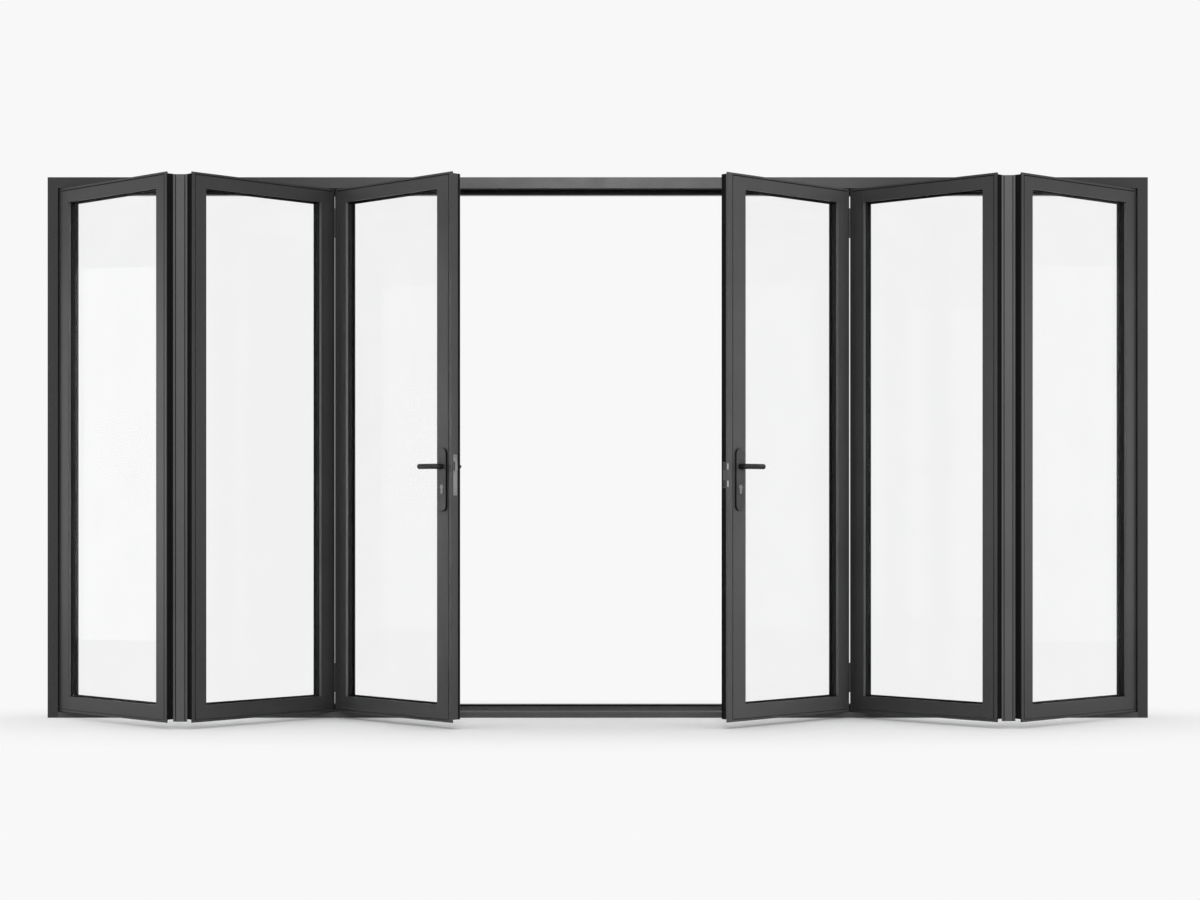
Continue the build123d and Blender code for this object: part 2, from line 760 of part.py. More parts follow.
make_head()
make_sill()
make_frame_seals()
for group in groups:
    make_jamb(group)
    for leaf in (group.jamb_leaf, group.middle_leaf, group.lead_leaf):
        make_stiles(group, leaf)
        make_rails(group, leaf)
        make_glass(group, leaf)
        make_beads(group, leaf)
    make_jamb_pivots(group)
    make_fold_hinges(group)
    make_rear_hinges(group)
    make_top_carrier(group)
    make_bottom_guide(group)
    make_finger_guard(group)
    make_handle_plates(group)
    make_lever(group)
    make_lock_cylinder(group)
    make_lock_face(group)
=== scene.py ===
from math import asin, atan2, cos, hypot, pi, radians, sin

import bmesh
import bpy
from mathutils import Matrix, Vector


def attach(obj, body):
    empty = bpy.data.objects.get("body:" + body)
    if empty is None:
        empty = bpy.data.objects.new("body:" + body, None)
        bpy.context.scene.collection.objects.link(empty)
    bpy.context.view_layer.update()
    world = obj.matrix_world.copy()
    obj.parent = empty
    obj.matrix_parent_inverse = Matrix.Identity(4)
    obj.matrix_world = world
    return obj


# A six-leaf bifold glass patio door, half folded to both sides of an open middle. The metal
# profiles, panes, hinges and handles are the frame's own nodes with a finish of their own. This
# script adds the thin pieces: spacer bars, sealant and gaskets of the panes, trims and strips on
# the leaves, rubber on edges, guards, jambs and head, the keeps' bent lips, and the screws.

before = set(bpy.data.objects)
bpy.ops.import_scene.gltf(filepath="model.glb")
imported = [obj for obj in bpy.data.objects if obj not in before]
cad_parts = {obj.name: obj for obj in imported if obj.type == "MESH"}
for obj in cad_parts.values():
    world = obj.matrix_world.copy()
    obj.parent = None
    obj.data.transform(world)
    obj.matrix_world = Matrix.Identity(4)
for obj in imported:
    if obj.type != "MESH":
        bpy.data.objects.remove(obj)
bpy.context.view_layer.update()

# Sizes in millimetres, the same as the model's
MM = 0.001
half_width = 2137
jamb_face = 40
frame_front = -45
stop_front = 54
stop_height = 19
sill_upstand_top = 47.5
head_underside = 2057
track_y = -15
leaf_low = 25
leaf_high = 2054
leaf_thickness = 50
leaf_widths = {"jamb": 705, "middle": 675, "lead": 690}
stile_face = 64
closing_stile_faces = {"left": 84, "right": 98}
handle_backsets = {"left": 48, "right": 62}
bottom_rail_face = 61.5
top_rail_face = 56
pane_front = 15
pane_thickness = 4
pane_back = 39
pane_bite = 11
bead_overhang = 2
leaf_gap = 14
rear_leaf_gap = 6
fold_axis_depth = 60
pivot_inset = 7
jamb_gap = 5
carrier_reach = 14
carrier_depth = 20
hinge_height = 115
hinge_end_distance = 131.5
drip_lip_height = 11
head_lip_height = 6
border_lip = 7
border_side_lip = 12
meeting_lips = {"left": 17, "right": 26}
guard_depth = 30
guard_groove_offset = 9
guard_groove_depth = 2.5
guard_bottom_inset = 2
guard_top_inset = 7
handle_height = 969
plate_above_lever = 68
plate_height = 234
plate_thickness = 8
plate_screw_inset = 18
lock_middle = 937
faceplate_depth = 16.5
faceplate_height = 150
faceplate_screw_inset = 8
keep_height = 26
keep_spacing = 64
fold_plate_back = 54
rear_plate_thickness = 2.4
rear_screw_depth = 22
leaf_turns = {"left": {"jamb": 43.9, "lead": 45.5}, "right": {"jamb": 41.2, "lead": 43.7}}
sides = ("left", "right")
leaf_names = ("jamb", "middle", "lead")


# Places on the leaves

def turned(along, depth, angle):
    """A step along a leaf and inwards, in plan, for a leaf turned by an angle."""
    return Vector((along * cos(angle) - depth * sin(angle), along * sin(angle) + depth * cos(angle)))


class Leaf:
    """A leaf as it stands in plan, worked out on the left and mirrored for the right."""

    def __init__(self, side, name, corner, angle):
        self.side = side
        self.name = name
        self.corner = corner
        self.angle = angle
        self.width = leaf_widths[name]
        last_stile = closing_stile_faces[side] if name == "lead" else stile_face
        self.glass_start = stile_face
        self.glass_end = self.width - last_stile
        self.glass_low = leaf_low + bottom_rail_face
        self.glass_high = leaf_high - top_rail_face
        self.last_lip = meeting_lips[side] if name == "lead" else border_side_lip

    def plan(self, along, depth):
        """A point of the leaf in plan, in millimetres."""
        return self.corner + turned(along, depth, self.angle)

    def spot(self, along, depth, z):
        """A point of the leaf in metres: along it, inwards from its outer face, and up."""
        point = self.plan(along, depth)
        x = point.x if self.side == "left" else -point.x
        return Vector((x, point.y, z)) * MM

    def way(self, along, depth):
        """A level direction on the leaf."""
        step = turned(along, depth, self.angle)
        x = step.x if self.side == "left" else -step.x
        return Vector((x, step.y, 0)).normalized()


def place_leaves(side):
    """One side's leaves, from the pivot at the jamb over the fold to the lead leaf. The middle
    leaf's carrier stays on the track's line, which gives that leaf its angle."""
    turns = leaf_turns[side]
    pivot = Vector((-half_width + jamb_face + jamb_gap + pivot_inset, frame_front + pivot_inset))
    angle = -radians(turns["jamb"])
    jamb = Leaf(side, "jamb", pivot - turned(pivot_inset, pivot_inset, angle), angle)
    fold_axis = jamb.plan(jamb.width + leaf_gap / 2, fold_axis_depth)
    along = leaf_gap / 2 + leaf_widths["middle"] + carrier_reach
    depth = carrier_depth - fold_axis_depth
    angle = asin((track_y - fold_axis.y) / hypot(along, depth)) - atan2(depth, along)
    middle = Leaf(side, "middle", fold_axis + turned(leaf_gap / 2, -fold_axis_depth, angle), angle)
    rear_axis = middle.plan(middle.width + rear_leaf_gap / 2, 0)
    angle = -radians(turns["lead"])
    lead = Leaf(side, "lead", rear_axis + turned(rear_leaf_gap / 2, 0, angle), angle)
    return {"jamb": jamb, "middle": middle, "lead": lead}


leaves = {side: place_leaves(side) for side in sides}


# Finishes

black_tone = 0.0015


def add_node(tree, kind, inputs=None, **settings):
    """A new node in a tree. Each input is given as a value, or as the socket that feeds it."""
    node = tree.nodes.new(kind)
    for name, value in settings.items():
        setattr(node, name, value)
    for key, value in (inputs or {}).items():
        if isinstance(value, bpy.types.NodeSocket):
            tree.links.new(value, node.inputs[key])
        else:
            node.inputs[key].default_value = value
    return node


class Finish:
    """A material with its node tree, and short ways to add nodes to it."""

    def __init__(self, name):
        self.material = bpy.data.materials.new(name)
        self.material.use_nodes = True
        self.tree = self.material.node_tree
        self.shader = self.tree.nodes["Principled BSDF"]
        self.output = self.tree.nodes["Material Output"]

    def add(self, kind, inputs=None, **settings):
        return add_node(self.tree, "ShaderNode" + kind, inputs, **settings)

    def link(self, start, end):
        self.tree.links.new(start, end)

    def cover(self, colour, roughness, bump):
        """Give the shader its colour, its roughness and its bumps."""
        self.link(colour, self.shader.inputs["Base Color"])
        self.link(roughness, self.shader.inputs["Roughness"])
        self.link(bump.outputs["Normal"], self.shader.inputs["Normal"])

    def object_coordinates(self, scale=(1, 1, 1)):
        coordinates = self.add("TexCoord")
        mapping = self.add("Mapping", {"Vector": coordinates.outputs["Object"], "Scale": scale})
        return mapping.outputs["Vector"]

    def noise(self, vector, scale, detail=2.0, roughness=0.5):
        node = self.add("TexNoise", {"Vector": vector, "Scale": scale, "Detail": detail,
                                     "Roughness": roughness})
        return node.outputs["Fac"]

    def spread(self, value, low, high, start=0.35, end=0.65, curve="LINEAR"):
        """A value between start and end spread over low to high."""
        node = self.add("MapRange", {"Value": value, "From Min": start, "From Max": end,
                                     "To Min": low, "To Max": high}, interpolation_type=curve)
        return node.outputs["Result"]

    def blend_colours(self, share, first, second):
        """The first colour where the share is 0, and the second where it is 1."""
        node = self.add("Mix", data_type="RGBA")
        self.link(share, node.inputs["Factor"])
        for socket, value in ((node.inputs[6], first), (node.inputs[7], second)):
            if isinstance(value, bpy.types.NodeSocket):
                self.link(value, socket)
            else:
                socket.default_value = (*value, 1)
        return node.outputs[2]

    def worn_edges(self, radius):
        """How near a surface point is to an edge, and a normal that rounds that edge."""
        bevel = self.add("Bevel", {"Radius": radius}, samples=6)
        flat = self.add("NewGeometry")
        across = self.add("VectorMath", {0: bevel.outputs["Normal"], 1: flat.outputs["Normal"]},
                          operation="DOT_PRODUCT")
        nearness = self.spread(across.outputs["Value"], 1, 0, 0.8, 0.995)
        return nearness, bevel.outputs["Normal"]


def powder_coat(name, tone, roughness, edge_wear_and_highlight_tone, grain=1.0, edge_radius=0.0009, gloss=0.36,
                flat=None):
    """A matt powder coat: fine orange peel, faint clouding, and paler edges, partly a thinner worn coat
    and partly a painted highlight along the edges.
    Where a facing direction is given, only the faces square to it have the coat, and the others are
    painted black as shade."""
    finish = Finish(name)
    vector = finish.object_coordinates()
    clouds = finish.noise(vector, 2.3, 4.0, 0.6)
    speckle = finish.noise(vector, 900.0, 2.0)
    peel = finish.noise(vector, 420.0, 3.0)
    rubbing_and_highlight_noise = finish.noise(vector, 14.0, 5.0, 0.65)
    colour = finish.blend_colours(finish.spread(clouds, 0, 1, 0.3, 0.7),
                                  [tone * 0.88] * 3, [tone * 1.14] * 3)
    colour = finish.blend_colours(finish.spread(speckle, 0, 0.5, 0.45, 0.75),
                                  colour, [tone * 1.9] * 3)
    nearness, rounded = finish.worn_edges(edge_radius)
    # Paler near the edges: partly a thinner, worn coat and partly a painted highlight along the edges
    edge_wear_and_highlight = finish.add("Math", {0: nearness, 1: finish.spread(rubbing_and_highlight_noise, 0.35, 1.0)},
                      operation="MULTIPLY")
    colour = finish.blend_colours(edge_wear_and_highlight.outputs[0], colour, [edge_wear_and_highlight_tone] * 3)
    # Faces not square to the given direction are painted black: a painted shadow on the plate's sides
    if flat is not None:
        surface = finish.add("NewGeometry")
        square = finish.add("VectorMath", {0: surface.outputs["Normal"], 1: flat},
                            operation="DOT_PRODUCT")
        either = finish.add("Math", {0: square.outputs["Value"]}, operation="ABSOLUTE")
        coat_not_painted_shade = finish.spread(either.outputs[0], 0, 1, 0.7, 0.95)
        colour = finish.blend_colours(coat_not_painted_shade, [black_tone] * 3, colour)
    bump = finish.add("Bump", {"Height": peel, "Strength": 0.22 * grain, "Distance": 0.0003,
                               "Normal": rounded})
    finish.cover(colour, finish.spread(rubbing_and_highlight_noise, roughness - 0.015, roughness + 0.02), bump)
    finish.shader.inputs["Specular IOR Level"].default_value = gloss
    return finish.material


def satin_steel(name, tone, roughness, brushed):
    """Brushed steel. The brushing is a noise drawn out along one axis."""
    finish = Finish(name)
    strands = finish.noise(finish.object_coordinates(brushed), 60.0, 4.0, 0.7)
    smears = finish.noise(finish.object_coordinates(), 40.0, 4.0, 0.6)
    nearness, rounded = finish.worn_edges(0.0004)
    colour = finish.blend_colours(finish.spread(strands, 0, 1), [tone * 0.8] * 3, [tone * 1.1] * 3)
    colour = finish.blend_colours(finish.spread(smears, 0, 0.4, 0.45, 0.7), colour, [tone * 0.6] * 3)
    # Paler along the edges: a painted highlight
    colour = finish.blend_colours(nearness, colour, [min(tone * 1.4, 0.9)] * 3)
    bump = finish.add("Bump", {"Height": strands, "Strength": 0.2, "Distance": 0.0001,
                               "Normal": rounded})
    finish.shader.inputs["Metallic"].default_value = 1.0
    finish.cover(colour, finish.spread(strands, roughness - 0.07, roughness + 0.08), bump)
    return finish.material


def extruded_rubber(name, tone):
    """Black sealing rubber with faint draw lines and a dusty bloom."""
    finish = Finish(name)
    vector = finish.object_coordinates()
    bloom = finish.noise(vector, 30.0, 5.0, 0.6)
    pores = finish.noise(vector, 1500.0, 2.0)
    colour = finish.blend_colours(finish.spread(bloom, 0, 1), [tone] * 3, [tone * 1.8] * 3)
    bump = finish.add("Bump", {"Height": pores, "Strength": 0.3, "Distance": 0.0002})
    finish.cover(colour, finish.spread(bloom, 0.62, 0.78), bump)
    finish.shader.inputs["Specular IOR Level"].default_value = 0.1
    return finish.material


def clear_float_glass(name):
    """Clear glass with the faint waviness of float glass. Lamps shine through it."""
    finish = Finish(name)
    vector = finish.object_coordinates()
    waves = finish.noise(vector, 1.6, 1.0)
    smears = finish.noise(vector, 5.0, 5.0, 0.7)
    bump = finish.add("Bump", {"Height": waves, "Strength": 0.02, "Distance": 0.001})
    colour = finish.blend_colours(finish.spread(smears, 0, 1),
                                  [0.966, 0.968, 0.967], [0.974, 0.976, 0.975])
    finish.cover(colour, finish.spread(smears, 0.0, 0.004), bump)
    finish.shader.inputs["Transmission Weight"].default_value = 1.0
    finish.shader.inputs["IOR"].default_value = 1.09
    lamp_path = finish.add("LightPath")
    open_to_lamps = finish.add("BsdfTransparent", {"Color": (0.96, 0.975, 0.965, 1)})
    mixed = finish.add("MixShader", {0: lamp_path.outputs["Is Shadow Ray"],
                                     1: finish.shader.outputs[0], 2: open_to_lamps.outputs[0]})
    finish.link(mixed.outputs[0], finish.output.inputs["Surface"])
    return finish.material


frame_coat = powder_coat("frame_powder_coat", 0.024, 0.33, 0.060, gloss=0.30)
sill_coat = powder_coat("sill_powder_coat", 0.052, 0.36, 0.100, gloss=0.30)
leaf_coat = powder_coat("leaf_powder_coat", 0.024, 0.36, 0.070, gloss=0.30)
# The lead leaves have the other leaves' coat painted lighter, the right one more: painted light where
# the lamps fall on them
left_lead_coat_painted_lighter = powder_coat("left_lead_powder_coat", 0.037, 0.34, 0.080, gloss=0.32)
right_lead_coat_painted_lighter = powder_coat("right_lead_powder_coat", 0.050, 0.34, 0.100, gloss=0.32)
# The reveals have the leaf's coat painted lighter: painted light on them
reveal_coat_painted_lighter = powder_coat("reveal_powder_coat", 0.062, 0.36, 0.100, gloss=0.36)
bead_coat = powder_coat("bead_powder_coat", 0.024, 0.42, 0.050, gloss=0.30)
guard_anodised = powder_coat("guard_anodised", 0.071, 0.36, 0.14, grain=0.5)
hardware_coat = powder_coat("hardware_black", 0.014, 0.46, 0.06, grain=1.4, edge_radius=0.0006)
handle_coat = powder_coat("handle_black", 0.004, 0.32, 0.03, grain=0.6, edge_radius=0.0006)
# The backplates' sides are painted black as shade; only their outer faces keep the coat
left_plate_coat, right_plate_coat = (
    powder_coat(side + "_backplate_coat", 0.037, 0.34, 0.07, gloss=0.26,
                flat=leaves[side]["lead"].way(0, 1))
    for side in sides)
cylinder_steel = satin_steel("cylinder_satin_nickel", 0.21, 0.34, (1, 1, 12))
lock_plate_steel = satin_steel("lock_satin_steel", 0.20, 0.36, (12, 12, 1))
keep_lip_steel = satin_steel("keep_lip_steel", 0.38, 0.34, (12, 12, 1))
screw_steel = satin_steel("screw_dark_steel", 0.16, 0.36, (1, 1, 1))
seal_rubber = extruded_rubber("seal_rubber_black", black_tone)
gasket_rubber = extruded_rubber("gasket_rubber_black", black_tone)
spacer_black = powder_coat("spacer_warm_edge", 0.006, 0.60, 0.012, grain=0.6,
                           edge_radius=0.0004, gloss=0.2)
clear_glass = clear_float_glass("clear_float_glass")

# Each node has the first finish whose word is in its name
finishes = [
    ("frame_seals", seal_rubber), ("glass", clear_glass), ("beads", bead_coat),
    ("frame_sill", sill_coat), ("frame_", frame_coat), ("left_lead_leaf", left_lead_coat_painted_lighter),
    ("right_lead_leaf", right_lead_coat_painted_lighter), ("stiles", leaf_coat), ("rails", leaf_coat),
    ("finger_guard", guard_anodised), ("left_handle_plates", left_plate_coat),
    ("right_handle_plates", right_plate_coat), ("lever", handle_coat),
    ("lock_cylinder", cylinder_steel), ("lock_keeps", hardware_coat), ("lock_", lock_plate_steel),
    ("", hardware_coat),
]
for name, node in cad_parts.items():
    finish = next(finish for word, finish in finishes if word in name)
    for slot in node.material_slots:
        slot.material = finish


# Pieces drawn as a section along a line

def add_bar(mesh, low_outline, high_outline):
    """A bar between two outlines with as many corners, closed at both ends."""
    low = [mesh.verts.new(point) for point in low_outline]
    high = [mesh.verts.new(point) for point in high_outline]
    for i in range(len(low)):
        j = (i + 1) % len(low)
        mesh.faces.new((low[i], low[j], high[j], high[i]))
    mesh.faces.new(low)
    mesh.faces.new(high)


def add_leaf_bar(mesh, leaf, section, low, high):
    """An upright bar on a leaf. The section's points are along the leaf and a depth."""
    add_bar(mesh, [leaf.spot(along, depth, low) for along, depth in section],
            [leaf.spot(along, depth, high) for along, depth in section])


def add_ring(mesh, leaf, start, end, low, high, section):
    """A closed bar round a rectangle on the leaf, its corners mitred. The section's points are an
    inset from the rectangle towards its middle, and a depth."""
    corners = [(start, low, 1, 1), (end, low, -1, 1), (end, high, -1, -1), (start, high, 1, -1)]
    loops = []
    for along, z, way_along, way_up in corners:
        loops.append([mesh.verts.new(leaf.spot(along + way_along * inset, depth, z + way_up * inset))
                      for inset, depth in section])
    for i, loop in enumerate(loops):
        following = loops[(i + 1) % len(loops)]
        for j in range(len(section)):
            k = (j + 1) % len(section)
            mesh.faces.new((loop[j], following[j], following[k], loop[k]))


def finish_piece(name, mesh, material, body="door"):
    """Join a mesh's double corners, point its faces outwards, and set it in the scene as a piece
    that rides on the body."""
    bmesh.ops.remove_doubles(mesh, verts=mesh.verts, dist=1e-7)
    bmesh.ops.recalc_face_normals(mesh, faces=mesh.faces)
    data = bpy.data.meshes.new(name)
    mesh.to_mesh(data)
    mesh.free()
    data.materials.append(material)
    piece = bpy.data.objects.new(name, data)
    bpy.context.scene.collection.objects.link(piece)
    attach(piece, body)


# On each leaf: spacer bars and sealant between the panes, gaskets round both sides, the trim of
# the shadow line round the face, a black strip in its top groove as painted shade, and sloped
# strips on the uprights' reveals in a lighter coat as painted light

gasket_reach = 3.2
gasket_lip = 3.6
spacer_edge_gap = 3
spacer_width = 7.5
trim_width = 2
trim_back = 3.8
groove_strip_front = 0.3
groove_strip_back = 0.9
groove_strip_low = 3.9
groove_strip_high = 0.1
reveal_front = 0.8
reveal_slope = 1.8
reveal_depth = pane_front - gasket_lip - 0.2
reveal_end_gap = 0.5

# A gasket's section: the heel against the metal, and a rounded lip down on the glass
outer_gasket = [(0, pane_front), (gasket_reach, pane_front), (gasket_reach * 0.86, pane_front - 1.4),
                (gasket_reach * 0.5, pane_front - gasket_lip * 0.86), (0, pane_front - gasket_lip)]
inner_gasket = [(0, pane_back), (gasket_reach, pane_back), (gasket_reach * 0.86, pane_back + 1.4),
                (gasket_reach * 0.5, pane_back + gasket_lip * 0.86), (0, pane_back + gasket_lip)]
spacer_low = pane_front + pane_thickness
spacer_high = pane_back - pane_thickness
spacer_bar = [(0, spacer_low), (spacer_width - 1, spacer_low), (spacer_width, spacer_low + 1.5),
              (spacer_width, spacer_high - 1.5), (spacer_width - 1, spacer_high), (0, spacer_high)]
edge_sealant = [(0, spacer_low), (spacer_edge_gap, spacer_low), (spacer_edge_gap, spacer_high),
                (0, spacer_high)]
border_trim = [(0, 1.2), (trim_width - 0.5, 1.0), (trim_width, 1.6), (trim_width, trim_back),
               (0, trim_back)]


def make_rings(leaf):
    """The pieces that run round a leaf's glass or face, and the strips beside them."""
    title = f"{leaf.side}_{leaf.name}_leaf_"
    sight = (leaf.glass_start, leaf.glass_end, leaf.glass_low, leaf.glass_high)
    ways = (1, -1, 1, -1)
    bead_edge = [edge + way * bead_overhang for edge, way in zip(sight, ways)]
    pane = [edge - way * pane_bite for edge, way in zip(sight, ways)]
    bar = [edge + way * spacer_edge_gap for edge, way in zip(pane, ways)]
    border = (border_side_lip, leaf.width - leaf.last_lip, leaf_low + border_lip, leaf_high - border_lip)
    rings = [
        ("outer_gasket", sight, outer_gasket, gasket_rubber, "seal_rubber"),
        ("inner_gasket", bead_edge, inner_gasket, gasket_rubber, "seal_rubber"),
        ("spacer_bar", bar, spacer_bar, spacer_black, "seal_rubber"),
        ("edge_sealant", pane, edge_sealant, gasket_rubber, "seal_rubber"),
        ("border_trim", border, border_trim, leaf_coat, "leaf_metal"),
    ]
    for name, rectangle, section, material, slot in rings:
        mesh = bmesh.new()
        add_ring(mesh, leaf, *rectangle, section)
        finish_piece(title + name, mesh, material)
    # A thin black strip at the front of the top groove: a painted shadow along the leaf's top edge
    mesh = bmesh.new()
    first, last, _, top = border
    section = [(first, groove_strip_front), (last, groove_strip_front), (last, groove_strip_back),
               (first, groove_strip_back)]
    add_leaf_bar(mesh, leaf, section, top - groove_strip_low, top - groove_strip_high)
    finish_piece(title + "top_groove_strip", mesh, seal_rubber)
    # Sloped strips on the reveals, in the leaf's coat painted lighter as painted light
    mesh = bmesh.new()
    for edge, way in ((leaf.glass_start, 1), (leaf.glass_end, -1)):
        section = [(edge, reveal_front), (edge + way * reveal_slope, reveal_depth),
                   (edge, reveal_depth)]
        add_leaf_bar(mesh, leaf, section, leaf.glass_low + reveal_end_gap,
                     leaf.glass_high - reveal_end_gap)
    finish_piece(title + "reveal_strips", mesh, reveal_coat_painted_lighter)


# Rubber on the leaves' edges, on the guards and in the frame, and the keeps' lips

seal_low = leaf_low + drip_lip_height + 1
seal_high = leaf_high - head_lip_height - 1
low_hinge = leaf_low + hinge_end_distance
high_hinge = leaf_high - hinge_end_distance
hinge_room = hinge_height / 2 + 1

# Sections as steps out from a leaf's end face and depths, from the outer face inwards
fold_seal = [(0, 3), (1.5, 3.6), (2.4, 5.5), (1.3, 8), (1.3, 11), (2.2, 13), (2.2, 15), (1.3, 17),
             (1.3, 21), (2.4, 24), (1.6, 27.6), (0, 28.4)]
rear_lips = {"left": 2.8, "right": 1.1}
rear_seals = {side: [(0, 0.3), (lip, 0.5), (lip, 1.3), (1.5, 2.2), (1.3, 5), (0.7, 8), (0.7, 18),
                     (1.3, 21), (0, 23)] for side, lip in rear_lips.items()}
left_meeting_seal = [(0, 30), (1.6, 30.4), (3.0, 32.4), (3.2, 34.6), (1.8, 37), (0, 37.6)]
right_edge_seal = [(0, 24.4), (0.8, 24.6), (2.4, 26.4), (1.6, 28.8), (0, 29.2)]
right_middle_seal = [(0, 8.0), (0.9, 10.4), (0.9, 23.8), (0, 24.0)]


def end_section(end, way, section):
    """A section on a leaf's end face, from steps out of that face to places along the leaf."""
    return [(end + way * step, depth) for step, depth in section]


def make_edge_seals(side):
    """The rubber on the end faces of one side's leaves."""
    jamb, middle, lead = (leaves[side][name] for name in leaf_names)
    mesh = bmesh.new()
    for leaf, end, way in ((jamb, jamb.width, 1), (middle, 0, -1)):
        add_leaf_bar(mesh, leaf, end_section(end, way, fold_seal), seal_low, seal_high)
    finish_piece(side + "_fold_seals", mesh, seal_rubber)
    mesh = bmesh.new()
    spans = [(seal_low, low_hinge - hinge_room), (low_hinge + hinge_room, high_hinge - hinge_room),
             (high_hinge + hinge_room, seal_high)]
    for leaf, end, way in ((middle, middle.width, 1), (lead, 0, -1)):
        for low, high in spans:
            add_leaf_bar(mesh, leaf, end_section(end, way, rear_seals[side]), low, high)
    finish_piece(side + "_rear_seals", mesh, seal_rubber)
    mesh = bmesh.new()
    meeting_seal = left_meeting_seal if side == "left" else right_edge_seal
    add_leaf_bar(mesh, lead, end_section(lead.width, 1, meeting_seal), seal_low, seal_high)
    if side == "right":
        lock_room = keep_spacing / 2 + keep_height / 2 + 3
        for low, high in ((seal_low, lock_middle - lock_room), (lock_middle + lock_room, seal_high)):
            add_leaf_bar(mesh, lead, end_section(lead.width, 1, right_middle_seal), low, high)
    finish_piece(side + "_meeting_seals", mesh, seal_rubber)


def make_guard_inlays(side):
    """A black rubber line in each groove of the finger guard."""
    first = leaves[side]["jamb"].plan(leaves[side]["jamb"].width, guard_depth)
    last = leaves[side]["middle"].plan(0, guard_depth)
    across = (last - first).normalized()
    inward = Vector((-across.y, across.x))
    low = leaf_low + guard_bottom_inset + 0.5
    high = leaf_high - guard_top_inset - 0.5
    half_inlay = 1.4
    back = guard_groove_depth - 0.1
    section = [(-half_inlay, 0.9), (0, 0.5), (half_inlay, 0.9), (half_inlay, back),
               (-half_inlay, back)]
    mirrored = 1 if side == "left" else -1
    mesh = bmesh.new()
    for groove in (first + across * guard_groove_offset, last - across * guard_groove_offset):
        outline = [groove + across * step + inward * depth for step, depth in section]
        add_bar(mesh, [Vector((mirrored * point.x, point.y, low)) * MM for point in outline],
                [Vector((mirrored * point.x, point.y, high)) * MM for point in outline])
    finish_piece(side + "_guard_inlays", mesh, seal_rubber)


def add_box(mesh, corner, opposite):
    """A bar with square corners along X, Y or Z between two corners in millimetres."""
    xs, ys, zs = zip(corner, opposite)
    loops = []
    for z in zs:
        loops.append([Vector((xs[0], ys[0], z)) * MM, Vector((xs[1], ys[0], z)) * MM,
                      Vector((xs[1], ys[1], z)) * MM, Vector((xs[0], ys[1], z)) * MM])
    add_bar(mesh, *loops)


def make_frame_rubber():
    """Flat rubber on the jambs' inner faces, and the pile seal above the head's rubber."""
    inner_x = half_width - jamb_face
    stop_y = frame_front + stop_front
    jamb_rubber_thickness = 1.2
    jamb_rubber_inset = 0.6
    mesh = bmesh.new()
    for way in (-1, 1):
        add_box(mesh, (way * inner_x, frame_front + jamb_rubber_inset, sill_upstand_top),
                (way * (inner_x - jamb_rubber_thickness), stop_y - jamb_rubber_inset,
                 head_underside - 1))
    finish_piece("jamb_rubbers", mesh, seal_rubber)
    reach = inner_x - stop_height - 1
    pile_thickness = 2.4
    pile_low = head_underside - 11
    pile_high = head_underside - 0.5
    mesh = bmesh.new()
    add_box(mesh, (-reach, stop_y - pile_thickness, pile_low), (reach, stop_y, pile_high))
    finish_piece("head_pile_seal", mesh, seal_rubber)


def make_keep_lips():
    """The keeps' bent lips, which reach round the right meeting edge on to its outer face."""
    lead = leaves["right"]["lead"]
    plate = 0.6
    lip_width = 4.5
    bend_depth = 1.5
    half_lip = keep_height / 2 - 2
    section = [(lead.width + plate, bend_depth), (lead.width + plate, -plate),
               (lead.width - lip_width, -plate), (lead.width - lip_width, 0), (lead.width, 0),
               (lead.width, bend_depth)]
    mesh = bmesh.new()
    for middle in (lock_middle + keep_spacing / 2, lock_middle - keep_spacing / 2):
        add_leaf_bar(mesh, lead, section, middle - half_lip, middle + half_lip)
    finish_piece("right_keep_lips", mesh, keep_lip_steel)


# Screws, instanced on points by Geometry Nodes

